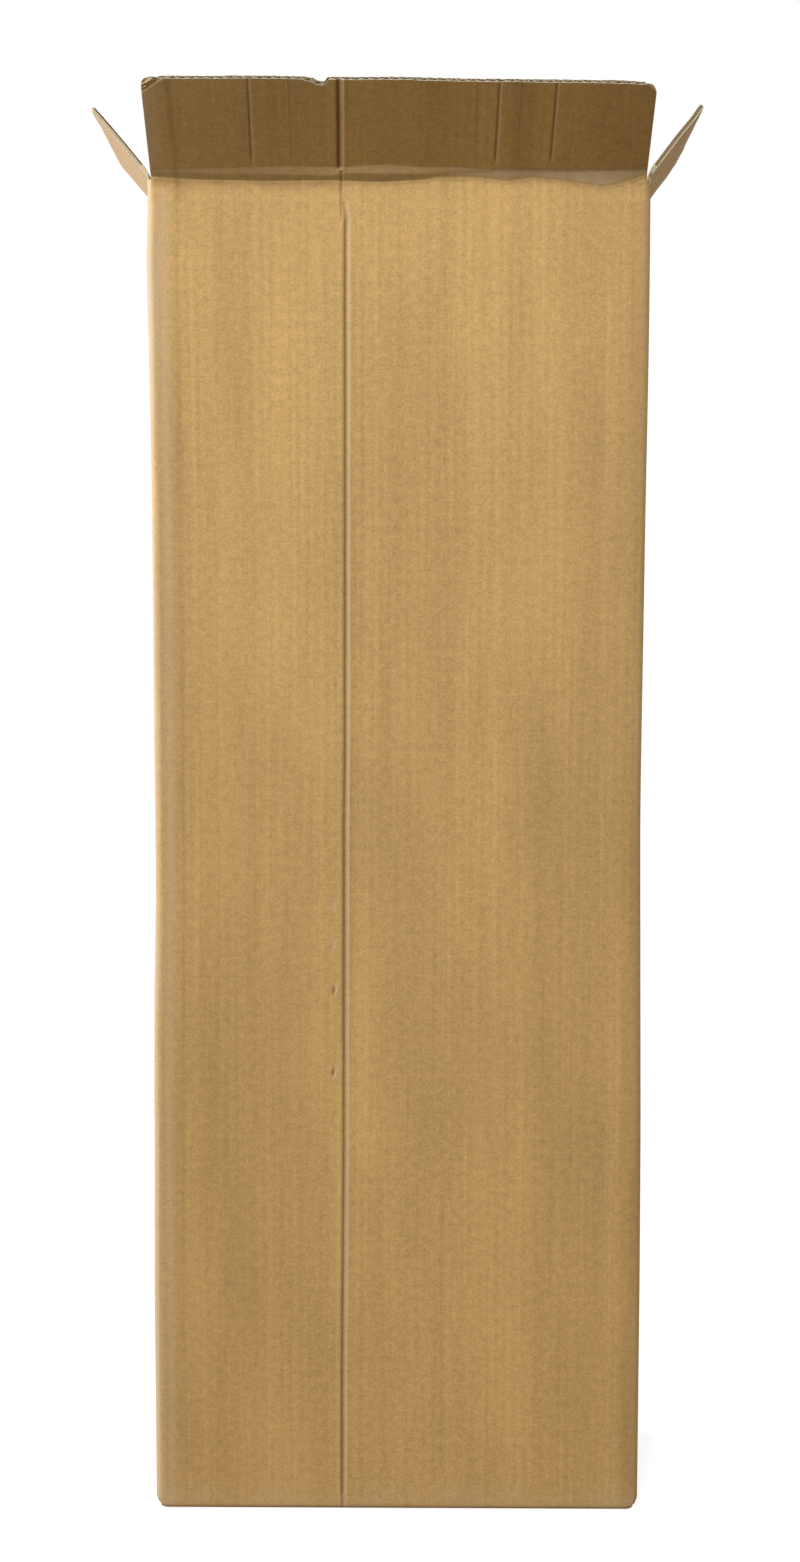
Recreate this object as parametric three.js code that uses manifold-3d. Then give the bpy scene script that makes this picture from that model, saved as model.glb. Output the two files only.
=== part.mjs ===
// A guitar shipping carton standing on its end, folded from one sheet of C-flute board.
// The four top flaps stand open and turn on their folds. The bottom is folded shut and taped.
// Millimetres, +Z up, +X to the right of the front panel, -Y towards the front. The origin is the
// middle of the base, on the surface that the carton stands on.
import * as THREE from "three";
import { mergeVertices } from "three/addons/utils/BufferGeometryUtils.js";
import Module from "manifold-3d";

const wasm = await Module();
wasm.setup();

// The carton, outside
const BOX_WIDTH = 425;
const BOX_DEPTH = 152;
const BOX_HEIGHT = 1166; // from the base to the front and back folds
const CORNER_RADIUS = 8; // the four upright folds
const END_FOLD_RADIUS = 11; // the lower left and right folds
const SIDE_FOLD_RADIUS = 5; // the lower front and back folds

// The board: two flat liners with a wave of paper between them
const BOARD = 4;
const LINER = 0.5;
const MEDIUM = 0.5;
const FLUTE_PITCH = 7.8;
const FLUTE_SHARE_OPEN = 0.85; // how much of a pitch one channel spans at its liner
const EDGE_MARGIN = 1; // board left beside the outermost channel of a flap

// Folds: the board is crushed from the inside on both sides of a fold line
const SCORE_LENGTH = 7;
const SCORE_SKIN = 1; // thickness left at the fold
const FOLD_OFFSET = 0.15; // fold line outside of the outer face, so that a flap can hang right down
const FOLD_CLEARANCE = 0.2; // between the two mitred edges that meet when a flap is shut
const CRUSHED_ROOT = 2; // flutes stay closed this far past the score

// Flaps
const LAYER_GAP = 0.3; // between flaps that lie on one another
const SEAM_GAP = 1.5; // between two flaps that meet in the middle
const SLOT_WIDTH = 4; // the front and back flaps stop this far inside the panel's edges
const TUCK_CLEARANCE = 0.5; // between the end flaps and the walls that they fold down between
const END_FLAP_LENGTH = 75;
const MAIN_FLAP_LEAN = 44; // outwards from upright, degrees
const END_FLAP_LEAN = 38.3;
const TIP_RADIUS = 1.5;

// The glued joint: a tab on the left panel's rear edge lies inside the back panel
const TAB_WIDTH = 38;
const TAB_SHORT_OF_FOLD = 14; // from the tab's ends to the top and bottom folds
const TAB_BEVEL = 12;
const JOINT_GAP = 1; // the cut that shows down the outside of the back panel

// Tape along the bottom seam
const TAPE_WIDTH = 48;
const TAPE_THICKNESS = 0.3;
const TAPE_SEAT = 0.3; // between tape and board
const TAPE_LAP = 60; // up each end wall

// Handling marks on the front
const CREASE_X = -46.7; // a long crease down the front panel
const CREASE_WIDTH = 5;
const CREASE_DEPTH = 1.2;
const CREASE_START = 20; // below the fold
const FLAP_CREASE_STEP = FLUTE_PITCH / 2; // the flap's crease stands half a flute to its left
const FLAP_CREASE_END = 40; // how far that one runs down the panel
const FLAP_LINES = [-122.5, 80, 126.7]; // shallow score lines across the front flap
const FLAP_LINE_WIDTH = 3;
const FLAP_LINE_DEPTH = 0.3;
const NOTCH = { left: -79.3, floorLeft: -62, floorRight: -60.5, right: -56.4, depth: 4.6 };
const BLUNT_LEFT = 6; // radius of the front flap's knocked left corner
const BENT_CORNER = 10; // leg of the fold across its right corner

const ARC_STEPS = 5; // sides in a quarter circle
const BEYOND = 5; // how far a cutter reaches past what it cuts
const OVERRUN = 1; // how far a pressed line runs past an edge

// Sizes that follow
const HALF_WIDTH = BOX_WIDTH / 2;
const HALF_DEPTH = BOX_DEPTH / 2;
const MAIN_FLAP_LENGTH = HALF_DEPTH + FOLD_OFFSET - SEAM_GAP / 2;
const MAIN_FLAP_HALF = HALF_WIDTH - SLOT_WIDTH;
const END_FLAP_HALF = HALF_DEPTH - BOARD - TUCK_CLEARANCE;
const END_FOLD_DROP = BOARD + LAYER_GAP; // the end flaps shut under the main ones
const END_FOLD_Z = BOX_HEIGHT - END_FOLD_DROP;
const SLOT_FLOOR_Z = BOX_HEIGHT - SCORE_LENGTH;

// Points along an arc, its ends included
function arc(u, v, radius, from, to) {
  return Array.from({ length: ARC_STEPS + 1 }, (_, i) => {
    const a = THREE.MathUtils.degToRad(from + ((to - from) * i) / ARC_STEPS);
    return [u + radius * Math.cos(a), v + radius * Math.sin(a)];
  });
}

// A closed outline pushed out along one axis, with its two coordinates in the order X, Y, Z
function prism(points, axis, from, to) {
  const shape = new THREE.Shape(points.map(([u, v]) => new THREE.Vector2(u, v)));
  const g = new THREE.ExtrudeGeometry(shape, { depth: to - from, bevelEnabled: false });
  if (axis === "x") {
    g.applyMatrix4(new THREE.Matrix4().set(0, 0, 1, from, 1, 0, 0, 0, 0, 1, 0, 0, 0, 0, 0, 1));
  } else if (axis === "y") {
    g.applyMatrix4(new THREE.Matrix4().set(1, 0, 0, 0, 0, 0, -1, to, 0, 1, 0, 0, 0, 0, 0, 1));
  } else {
    g.translate(0, 0, from);
  }
  return solidOf(g);
}

function block(x0, x1, y0, y1, z0, z1) {
  const g = new THREE.BoxGeometry(x1 - x0, y1 - y0, z1 - z0);
  g.translate((x0 + x1) / 2, (y0 + y1) / 2, (z0 + z1) / 2);
  return solidOf(g);
}

function solidOf(geometry) {
  geometry.deleteAttribute("normal");
  geometry.deleteAttribute("uv");
  const merged = mergeVertices(geometry, 1e-4);
  return new wasm.Manifold(
    new wasm.Mesh({
      numProp: 3,
      vertProperties: merged.attributes.position.array,
      triVerts: new Uint32Array(merged.index.array),
    }),
  );
}

function geometryOf(solid) {
  const mesh = solid.getMesh();
  const g = new THREE.BufferGeometry();
  g.setAttribute("position", new THREE.BufferAttribute(mesh.vertProperties, 3));
  g.setIndex(new THREE.BufferAttribute(mesh.triVerts, 1));
  g.computeVertexNormals();
  return g;
}

function moved(solid, object) {
  object.updateMatrixWorld(true);
  return solid.transform(object.matrixWorld.elements);
}

// Where a flap turns: its own X runs along the fold, -Y points out of the box and +Z up
function foldFrame(x, y, z, turn) {
  const frame = new THREE.Group();
  frame.position.set(x, y, z);
  frame.rotation.z = THREE.MathUtils.degToRad(turn);
  return frame;
}

const FOLDS = {
  front: foldFrame(0, -HALF_DEPTH - FOLD_OFFSET, BOX_HEIGHT, 0),
  back: foldFrame(0, HALF_DEPTH + FOLD_OFFSET, BOX_HEIGHT, 180),
  left: foldFrame(-HALF_WIDTH - FOLD_OFFSET, 0, END_FOLD_Z, -90),
  right: foldFrame(HALF_WIDTH + FOLD_OFFSET, 0, END_FOLD_Z, 90),
};

// What the crushed fold takes off a wall's top (side = -1) or off a flap's root (side = 1)
function foldCutter(side, half) {
  const outer = FOLD_OFFSET;
  const inner = FOLD_OFFSET + BOARD;
  const edge = FOLD_OFFSET + FOLD_CLEARANCE;
  const profile = [
    [-BEYOND, edge],
    [outer, edge],
    [outer + SCORE_SKIN, edge + SCORE_SKIN],
    [inner, SCORE_LENGTH],
    [inner + BEYOND / 2, SCORE_LENGTH],
    [inner + BEYOND / 2, -BEYOND],
    [-BEYOND, -BEYOND],
  ].map(([y, z]) => [y, side * z]);
  return prism(side < 0 ? profile : profile.reverse(), "x", -half, half);
}

// A V pressed into an outer face that looks along -Y, from one point of the face to another
function pressedLine(face, [x0, z0], [x1, z1], width, depth) {
  const length = Math.hypot(x1 - x0, z1 - z0);
  const lift = (0.1 * width) / 2;
  const profile = [
    [-width / 2 - lift, -0.1 * depth],
    [width / 2 + lift, -0.1 * depth],
    [0, depth],
  ];
  const line = new THREE.Group();
  line.position.set(x0, face, z0);
  line.rotation.y = Math.atan2(x1 - x0, z1 - z0);
  return moved(prism(profile, "z", 0, length), line);
}

// The carton's outer form, moved in by an inset on every side but the top
function cartonForm(inset, top) {
  const w = HALF_WIDTH - inset;
  const d = HALF_DEPTH - inset;
  const corner = CORNER_RADIUS - inset;
  const end = END_FOLD_RADIUS - inset;
  const side = SIDE_FOLD_RADIUS - inset;
  const plan = [
    ...arc(w - corner, d - corner, corner, 0, 90),
    ...arc(-w + corner, d - corner, corner, 90, 180),
    ...arc(-w + corner, -d + corner, corner, 180, 270),
    ...arc(w - corner, -d + corner, corner, 270, 360),
  ];
  const elevation = (half, radius) => [
    [half, top],
    [-half, top],
    ...arc(-half + radius, inset + radius, radius, 180, 270),
    ...arc(half - radius, inset + radius, radius, 270, 360),
  ];
  const reach = HALF_WIDTH + BEYOND;
  return prism(plan, "z", -BEYOND, top)
    .intersect(prism(elevation(w, end), "y", -reach, reach))
    .intersect(prism(elevation(d, side), "x", -reach, reach));
}

// The bottom: two main flaps outside, meeting along the middle, and the end flaps on top of them
function withBottomFlaps(shell) {
  const reach = HALF_WIDTH - END_FLAP_LENGTH;
  const floor = BOARD + LAYER_GAP;
  let made = shell.subtract(
    block(-BOX_WIDTH, BOX_WIDTH, -SEAM_GAP / 2, SEAM_GAP / 2, -BEYOND, BOARD + LAYER_GAP / 2),
  );
  for (const side of [-1, 1]) {
    const [a, b] = [side * reach, side * (HALF_WIDTH - BOARD / 2)].sort((p, q) => p - q);
    made = made.add(block(a, b, -END_FLAP_HALF, END_FLAP_HALF, floor, floor + BOARD));
    const [c, e] = [side * (reach - BEYOND), side * (HALF_WIDTH + BEYOND)].sort((p, q) => p - q);
    const inside = HALF_DEPTH - BOARD;
    made = made.subtract(block(c, e, -inside, inside, BOARD, floor));
  }
  return made;
}

// The cut edge of the back panel and the tab behind it
function withGluedJoint(shell) {
  const fold = -HALF_WIDTH + CORNER_RADIUS;
  const inside = HALF_DEPTH - BOARD;
  const cut = block(fold, fold + JOINT_GAP, inside, HALF_DEPTH + BEYOND, SIDE_FOLD_RADIUS, BOX_HEIGHT + BEYOND);
  const root = -HALF_WIDTH + BOARD / 2;
  const edge = -HALF_WIDTH + BOARD + TAB_WIDTH;
  const low = TAB_SHORT_OF_FOLD;
  const high = BOX_HEIGHT - TAB_SHORT_OF_FOLD;
  const tab = [
    [root, low],
    [edge, low + TAB_BEVEL],
    [edge, high - TAB_BEVEL],
    [root, high],
  ];
  return shell.subtract(cut).add(prism(tab, "y", inside - BOARD, inside + BOARD / 8));
}

function boxBody() {
  let made = cartonForm(0, BOX_HEIGHT).subtract(cartonForm(BOARD, BOX_HEIGHT + BEYOND));
  made = withBottomFlaps(made);
  made = withGluedJoint(made);

  for (const name of ["front", "back"]) {
    made = made.subtract(moved(foldCutter(-1, HALF_WIDTH + BEYOND), FOLDS[name]));
  }
  for (const name of ["left", "right"]) {
    made = made.subtract(moved(foldCutter(-1, HALF_DEPTH - BOARD), FOLDS[name]));
  }
  for (const x of [-1, 1]) {
    for (const y of [-1, 1]) {
      const [x0, x1] = [x * MAIN_FLAP_HALF, x * (HALF_WIDTH + BEYOND)].sort((p, q) => p - q);
      const [y0, y1] = [y * END_FLAP_HALF, y * (HALF_DEPTH + BEYOND)].sort((p, q) => p - q);
      made = made.subtract(block(x0, x1, y0, y1, SLOT_FLOOR_Z, BOX_HEIGHT + BEYOND));
    }
  }

  const flapCrease = CREASE_X - FLAP_CREASE_STEP;
  const long = [[CREASE_X, -BEYOND], [CREASE_X, BOX_HEIGHT - CREASE_START]];
  const short = [[flapCrease, BOX_HEIGHT - FLAP_CREASE_END], [flapCrease, BOX_HEIGHT + BEYOND]];
  made = made.subtract(pressedLine(-HALF_DEPTH, ...long, CREASE_WIDTH, CREASE_DEPTH));
  made = made.subtract(pressedLine(-HALF_DEPTH, ...short, CREASE_WIDTH / 2, SCORE_SKIN / 2));

  const groove = TAPE_THICKNESS + TAPE_SEAT;
  return made.subtract(tapeBand(TAPE_SEAT).subtract(cartonForm(groove, BOX_HEIGHT)));
}

function tapeBand(margin) {
  const half = TAPE_WIDTH / 2 + margin;
  return block(-BOX_WIDTH, BOX_WIDTH, -half, half, -BEYOND, TAPE_LAP + margin);
}

function bottomSeamTape() {
  const outside = cartonForm(0, BOX_HEIGHT);
  const inside = cartonForm(TAPE_THICKNESS, BOX_HEIGHT + BEYOND);
  return outside.subtract(inside).intersect(tapeBand(0));
}

// One open channel of the flutes, beside the outer liner (side = 1) or the inner one (side = -1)
function channel(x, side, length) {
  const middle = FOLD_OFFSET + BOARD / 2;
  const liner = middle - side * (BOARD / 2 - LINER);
  const swing = (BOARD - 2 * LINER - MEDIUM) / 2;
  const wall = (u) => {
    const phase = (2 * Math.PI * u) / FLUTE_PITCH;
    const slope = (swing * 2 * Math.PI * Math.sin(phase)) / FLUTE_PITCH;
    return middle + side * (swing * Math.cos(phase) - (MEDIUM / 2) * Math.hypot(1, slope));
  };
  const half = (FLUTE_SHARE_OPEN * FLUTE_PITCH) / 2;
  const crown = [0.7, 0.36, 0, -0.36, -0.7].map((share) => [x + share * half, wall(share * half)]);
  const profile = [[x - half, liner], [x + half, liner], ...crown];
  return prism(side > 0 ? profile : profile.reverse(), "z", SCORE_LENGTH + CRUSHED_ROOT, length);
}

// An upright flap in its fold's frame. Flutes keep clear of the creases.
function flapSolid(half, length, outline, creases = []) {
  let made = prism(outline, "y", FOLD_OFFSET, FOLD_OFFSET + BOARD).subtract(foldCutter(1, half + BEYOND));
  const reach = (FLUTE_SHARE_OPEN * FLUTE_PITCH) / 2;
  const steps = Math.floor((half - EDGE_MARGIN - reach) / (FLUTE_PITCH / 2));
  for (let i = -steps; i <= steps; i += 1) {
    const x = (i * FLUTE_PITCH) / 2;
    if (creases.every((crease) => Math.abs(crease - x) > reach + CREASE_WIDTH / 2)) {
      made = made.subtract(channel(x, i % 2 === 0 ? 1 : -1, length + BEYOND));
    }
  }
  return made;
}

function plainOutline(half, length) {
  return [
    [-half, 0],
    [half, 0],
    ...arc(half - TIP_RADIUS, length - TIP_RADIUS, TIP_RADIUS, 0, 90),
    ...arc(-half + TIP_RADIUS, length - TIP_RADIUS, TIP_RADIUS, 90, 180),
  ];
}

function frontFlap() {
  const half = MAIN_FLAP_HALF;
  const tip = MAIN_FLAP_LENGTH;
  const crease = CREASE_X - FLAP_CREASE_STEP;
  const bent = BENT_CORNER / 2;
  const outline = [
    [-half, 0],
    [half, 0],
    ...arc(half - bent, tip - bent, bent, 0, 90),
    [NOTCH.right, tip],
    [NOTCH.floorRight, tip - NOTCH.depth],
    [NOTCH.floorLeft, tip - NOTCH.depth],
    [NOTCH.left, tip],
    ...arc(-half + BLUNT_LEFT, tip - BLUNT_LEFT, BLUNT_LEFT, 90, 180),
  ];
  let made = flapSolid(half, tip, outline, [crease]);
  made = made.subtract(pressedLine(FOLD_OFFSET, [crease, 0], [crease, tip + OVERRUN], CREASE_WIDTH, CREASE_DEPTH));
  for (const x of FLAP_LINES) {
    const line = [[x, SCORE_LENGTH], [x, tip + OVERRUN]];
    made = made.subtract(pressedLine(FOLD_OFFSET, ...line, FLAP_LINE_WIDTH, FLAP_LINE_DEPTH));
  }
  const dog = [[half - 1.6 * BENT_CORNER, tip + OVERRUN], [half + OVERRUN, tip - 1.2 * BENT_CORNER]];
  made = made.subtract(pressedLine(FOLD_OFFSET, ...dog, FLAP_LINE_WIDTH, FLAP_LINE_DEPTH));
  const ear = [[-half - OVERRUN, tip - 2 * BLUNT_LEFT], [-half + 3 * BLUNT_LEFT, tip + OVERRUN]];
  return made.subtract(pressedLine(FOLD_OFFSET, ...ear, FLAP_LINE_WIDTH, FLAP_LINE_DEPTH));
}

const KRAFT = new THREE.MeshStandardMaterial({ color: 0xc4a372, roughness: 0.9, metalness: 0 });
const KRAFT_FLAP = new THREE.MeshStandardMaterial({ color: 0xbf9d6c, roughness: 0.9, metalness: 0 });
const TAPE = new THREE.MeshStandardMaterial({ color: 0xb58c58, roughness: 0.45, metalness: 0 });

function piece(name, solid, material) {
  const mesh = new THREE.Mesh(geometryOf(solid), material.clone());
  mesh.name = name;
  return mesh;
}

// A flap hangs in its fold's frame and leans out of the box
function hungFlap(name, fold, solid, lean) {
  const flap = piece(name, solid, KRAFT_FLAP);
  flap.rotation.x = THREE.MathUtils.degToRad(lean);
  fold.add(flap);
  return fold;
}

const endFlap = flapSolid(END_FLAP_HALF, END_FLAP_LENGTH, plainOutline(END_FLAP_HALF, END_FLAP_LENGTH));
const backFlap = flapSolid(MAIN_FLAP_HALF, MAIN_FLAP_LENGTH, plainOutline(MAIN_FLAP_HALF, MAIN_FLAP_LENGTH));

const carton = new THREE.Group();
carton.add(piece("box_body", boxBody(), KRAFT));
carton.add(piece("bottom_seam_tape", bottomSeamTape(), TAPE));
carton.add(hungFlap("front_top_flap", FOLDS.front, frontFlap(), MAIN_FLAP_LEAN));
carton.add(hungFlap("back_top_flap", FOLDS.back, backFlap, MAIN_FLAP_LEAN));
carton.add(hungFlap("left_top_flap", FOLDS.left, endFlap, END_FLAP_LEAN));
carton.add(hungFlap("right_top_flap", FOLDS.right, endFlap, END_FLAP_LEAN));

export default carton;
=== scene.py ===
from math import cos, pi, radians, sin

import bpy
import numpy as np
from mathutils import Matrix, Vector


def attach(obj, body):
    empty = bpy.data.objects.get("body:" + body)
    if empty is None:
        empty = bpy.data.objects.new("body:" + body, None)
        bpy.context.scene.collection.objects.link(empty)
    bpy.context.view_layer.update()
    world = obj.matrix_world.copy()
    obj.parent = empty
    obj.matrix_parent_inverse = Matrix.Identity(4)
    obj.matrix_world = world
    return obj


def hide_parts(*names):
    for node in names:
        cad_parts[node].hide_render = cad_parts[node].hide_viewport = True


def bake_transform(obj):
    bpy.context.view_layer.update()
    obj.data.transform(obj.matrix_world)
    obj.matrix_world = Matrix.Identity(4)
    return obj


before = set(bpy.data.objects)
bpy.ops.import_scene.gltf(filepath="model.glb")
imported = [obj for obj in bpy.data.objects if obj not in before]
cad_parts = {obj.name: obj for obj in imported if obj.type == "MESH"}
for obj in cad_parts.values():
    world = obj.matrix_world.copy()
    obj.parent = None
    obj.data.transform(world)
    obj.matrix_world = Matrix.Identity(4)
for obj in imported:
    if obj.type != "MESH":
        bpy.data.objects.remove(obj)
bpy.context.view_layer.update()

# A tall corrugated carton on its taped end, with its four top flaps folded out.
# Lengths are in millimetres until a mesh is made, and angles in degrees unless they say otherwise.
MM = 0.001

# The carton
HALF_WIDTH = 212.5
HALF_DEPTH = 76.0
HEIGHT = 1166.0
CORNER = 8.0  # radius of the upright folds
BOARD = 4.0
LINER = 0.45
FLUTE_PITCH = 7.8
FLAT = {"main": HALF_WIDTH - CORNER, "end": HALF_DEPTH - CORNER}
SLOT_FROM, SLOT_TO = 30.0, 60.0  # the part of a corner's bend that the slots take
ARC_STEPS = 12

# Folds at the top
FOLD_Z = {"main": HEIGHT, "end": HEIGHT - BOARD - 0.3}
SCORE = 7.0  # how far the board is crushed on both sides of a fold
CRUSHED = 1.3  # thickness left at the fold
JOIN_Z = HEIGHT - 26.0  # where a flap's piece takes over from the wall
SLOT_FLOOR = HEIGHT - SCORE
FLAP_LENGTH = {"main": 75.4, "end": 75.0}
FLAP_HALF = {"main": 208.5, "end": 71.5}
OUTER_LAYER_BACK = 0.9  # how much sooner the outer layer ends at the tip
TIP_FROM = 57.0  # beyond this the rows stretch to follow a flap's torn tip

# Folds at the bottom
LOWER_JOIN = 14.0
SIDE_FOLD = 5.0
END_FOLD = 7.0
ROUNDED_END = 11.0
LAYER_GAP = 0.3
SEAM_HALF = 0.75

# Tape
TAPE_HALF = 24.0
TAPE_THICKNESS = 0.3
TAPE_SEAT = 0.04
TAPE_LAP = 60.0
TAPE_MARGIN = 0.3

# Glued joint at the rear left
JOINT_FROM, JOINT_TO = 203.5, 204.5
JOINT_DEPTH = 3.5
TAB_WIDTH = 38.0
TAB_ENDS = 14.0
TAB_BEVEL = 12.0


def between(x, low, high):
    """0 below low, 1 above high, and a smooth rise from one to the other."""
    t = np.clip((x - low) / (high - low), 0.0, 1.0)
    return t * t * (3.0 - 2.0 * t)


def follow(x, knots):
    """The height of a line drawn through knots, at x."""
    return np.interp(x, [k[0] for k in knots], [k[1] for k in knots])


def hump(x, centre, half):
    """1 at the centre, falling smoothly to 0 at half on each side."""
    t = np.clip(np.abs(x - centre) / half, 0.0, 1.0)
    return 1.0 - t * t * (3.0 - 2.0 * t)


def spot(x, z, centre_x, centre_z, half_x, half_z):
    """1 at a point, fading round it."""
    return np.exp(-(((x - centre_x) / half_x) ** 2 + ((z - centre_z) / half_z) ** 2))


def lumps(x, y, cell, seed):
    """Smooth random hills and hollows about a cell across, between -1 and 1."""
    x, y = np.broadcast_arrays(np.asarray(x, float) / cell, np.asarray(y, float) / cell)
    left, low = np.floor(x), np.floor(y)

    def lattice(i, j):
        mixed = np.sin((left + i) * 127.1 + (low + j) * 311.7 + seed * 74.7) * 43758.5453
        return 2.0 * (mixed - np.floor(mixed)) - 1.0

    across, up = x - left, y - low
    across = across * across * (3.0 - 2.0 * across)
    up = up * up * (3.0 - 2.0 * up)
    lower = lattice(0, 0) * (1.0 - across) + lattice(1, 0) * across
    upper = lattice(0, 1) * (1.0 - across) + lattice(1, 1) * across
    return lower * (1.0 - up) + upper * up


# Handling marks, seen from outside with x to the right
CREASE = [(0, -46.5), (120, -46.5), (225, -45.7), (332, -44.9), (613, -45.0), (682, -44.2), (1116, -44.3),
          (1126, -43.9), (1139, -45.8), (1150, -48.4)]
CREASE_TOP = 1150.0
CREASE_DEPTH = 1.2
CREASE_HALF = 2.6
FLAP_CREASE = -48.6
FLAP_CREASE_LOW = 1123.0
FLAP_CREASE_HALF = 3.4
FLAP_LINES = [(-122.0, 0.55), (81.0, 0.6), (127.2, 0.6), (-89.4, -0.25), (63.2, -0.22), (98.9, -0.25)]
NICKS = [(-54.1, 464.7), (-54.5, 392.5)]
SCRAPES = [(-54.1, 539.1), (-54.1, 505.9)]
NOTCH = [(-79.3, 0.0), (-74.0, 1.2), (-70.0, 2.0), (-66.0, 4.0), (-62.0, 4.6),
         (-60.5, 4.6), (-58.6, 3.4), (-56.4, 0.0)]
NOTCH_INSIDE = [(-77.5, 0.0), (-73.0, 0.7), (-69.0, 1.0), (-66.0, 2.6), (-62.5, 3.4),
                (-60.5, 3.9), (-59.2, 2.6), (-57.4, 0.0)]

# The front fold, as heights along the board from the machine's score
FOLD_START = [(-212, -4.2), (-199, -5.2), (-175, -6.9), (-115, -8.2), (-58, -7.6), (-18, -8.9),
              (18, -7.3), (33, -4.6), (64, -4.8), (78, -6.4), (92, -8.0), (111, -4.8), (142, -8.0),
              (156, -10.2), (170, -12.4), (184, -10.3), (207, -2.4)]
FOLD_MIDDLE = [(-212, -2.8), (-172, -2.9), (-115, -3.0), (-58, -4.1), (-44, -2.2), (18, -2.6), (30, -2.4),
               (48, -1.2), (74, -0.8), (111, 0.0), (140, -0.8), (209, 0.1)]
FOLD_END = [(-212, 1.5), (-101, 4.1), (-52, 3.3), (-9, 5.5), (18, 3.3), (48, 3.4), (74, 1.6), (209, 1.6)]
LEAN_START = [(-212, 42), (-115, 44), (-18, 44), (18, 43), (33, 40), (50, 36), (66, 32),
              (111, 26), (170, 20), (209, 20)]
LEAN_MIDDLE = [(-212, 41), (-115, 36), (-45, 29), (18, 27), (48, 34), (74, 40), (209, 43)]
LEAN_END = [(-209, 40.5), (-120, 41.3), (0, 42.5), (120, 43.6), (209, 44)]
TIP_DRIFT = [(-209, 0.9), (-121, 1.0), (-55, 0.3), (17, 0.0), (82, -0.8), (131, -1.4),
             (180, -2.4), (209, -3.2)]

# How far the two upright edges are pulled in, by height
LEFT_WAIST = [(0, 1.3), (60, 1.3), (190, 0.4), (470, 2.0), (545, 3.9), (613, 3.6), (680, 3.0),
              (890, 2.3), (1010, 0.5), (1090, -1.5), (1166, -1.5)]
RIGHT_WAIST = [(0, 0.2), (190, -0.2), (333, 0.2), (613, 3.3), (683, 3.0), (752, 2.4),
               (890, 1.4), (1010, 0.1), (1166, -0.3)]
BULGE = 2.6
FULLER = 1.011  # how much wider the used carton stands than its drawing
heights = np.arange(0.0, HEIGHT + 1.0, 5.0)
soften = np.exp(-0.5 * (np.arange(-60.0, 61.0, 5.0) / 22.0) ** 2)
soften /= soften.sum()


def softened(knots):
    drawn = np.pad(follow(heights, knots), len(soften) // 2, mode="edge")
    return np.convolve(drawn, soften, mode="valid") * (1.0 - between(heights, 1085.0, JOIN_Z))


WAIST = {-1: softened(LEFT_WAIST), 1: softened(RIGHT_WAIST)}


def drawn_in(x, z):
    """How far the sides are pulled towards the middle."""
    inward = np.where(x < 0, np.interp(z, heights, WAIST[-1]), np.interp(z, heights, WAIST[1]))
    return np.sign(x) * inward * np.clip(np.abs(x) / HALF_WIDTH, 0.0, 1.2) ** 2


def settle(points):
    """Lets a square carton take its worn form: rounded lower ends, drawn-in sides and a slight belly."""
    x, y, z = points[..., 0].copy(), points[..., 1].copy(), points[..., 2].copy()
    side = np.sign(x)
    centre = HALF_WIDTH * FULLER - ROUNDED_END
    dx, dz = np.abs(x) - centre, z - ROUNDED_END
    low = (dx > 0) & (dz < 0)
    reach = np.hypot(dx, dz)
    pull = np.where(low, np.maximum(dx, -dz) / np.where(reach > 0, reach, 1.0), 1.0)
    x = np.where(low, side * (centre + dx * pull), x)
    z = np.where(low, ROUNDED_END + dz * pull, z)
    across = np.clip(np.abs(x) / HALF_WIDTH, 0.0, 1.0)
    belly = BULGE * np.sin(pi * np.clip(z / JOIN_Z, 0.0, 1.0)) ** 2 * (1.0 - across ** 2)
    y = y + np.sign(y) * belly * np.clip(np.abs(y) / HALF_DEPTH, 0, 1)
    return np.stack([x - drawn_in(x, z), y, z], -1)


# A panel's own directions: x to the right seen from outside, out, and up
KIND = {"front": "main", "back": "main", "left": "end", "right": "end"}
quarter = FLAT["end"] + CORNER * pi / 2 + FLAT["main"]
MIDDLE = {"left": 0.0, "front": quarter, "right": 2 * quarter, "back": 3 * quarter}


def to_carton(side, x, out, up):
    if side == "front":
        parts = (x, -HALF_DEPTH - out, up)
    elif side == "back":
        parts = (-x, HALF_DEPTH + out, up)
    elif side == "left":
        parts = (-HALF_WIDTH - out, -x, up)
    else:
        parts = (HALF_WIDTH + out, x, up)
    return np.stack(np.broadcast_arrays(*parts), -1) * (FULLER, 1.0, 1.0)


def panel_relief(side, x, z):
    """How far the outer face of a wall is pressed in."""
    x, z = np.broadcast_arrays(x, z)
    worn = 0.10 * lumps(x, z / 9.0, 24.0, len(side)) + 0.05 * lumps(x, z / 5.0, 9.0, 2 + len(side))
    worn = worn * (1.0 - between(z, 1100.0, JOIN_Z - 4.0)) * between(z, LOWER_JOIN, 60.0)
    if side != "front":
        return worn
    centre = follow(z, CREASE)
    offset = np.abs(x - centre)
    depth = CREASE_DEPTH * (1.0 - between(z, CREASE_TOP - 14.0, CREASE_TOP))
    groove = depth * np.clip(1.0 - offset / CREASE_HALF, 0.0, 1.0)
    shoulder = -0.22 * depth * hump(x, centre - CREASE_HALF - 1.2, 2.0)
    shoulder = shoulder - 0.34 * depth * hump(x, centre + CREASE_HALF + 1.2, 2.2)
    upper = 0.85 * between(z, FLAP_CREASE_LOW, FLAP_CREASE_LOW + 16.0)
    second = upper * np.clip(1.0 - np.abs(x - FLAP_CREASE - 0.4) / 2.2, 0.0, 1.0)
    dents = 0.0
    for nick_x, nick_z in NICKS:
        dents = dents + 0.9 * spot(x, z, nick_x, nick_z, 1.5, 3.2)
        dents = dents - 0.35 * spot(x, z, nick_x + 2.4, nick_z, 1.5, 3.2)
    for scrape_x, scrape_z in SCRAPES:
        dents = dents + 0.35 * spot(x, z, scrape_x, scrape_z, 1.6, 3.0)
    return worn + np.maximum(groove, second) + shoulder + dents


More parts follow.
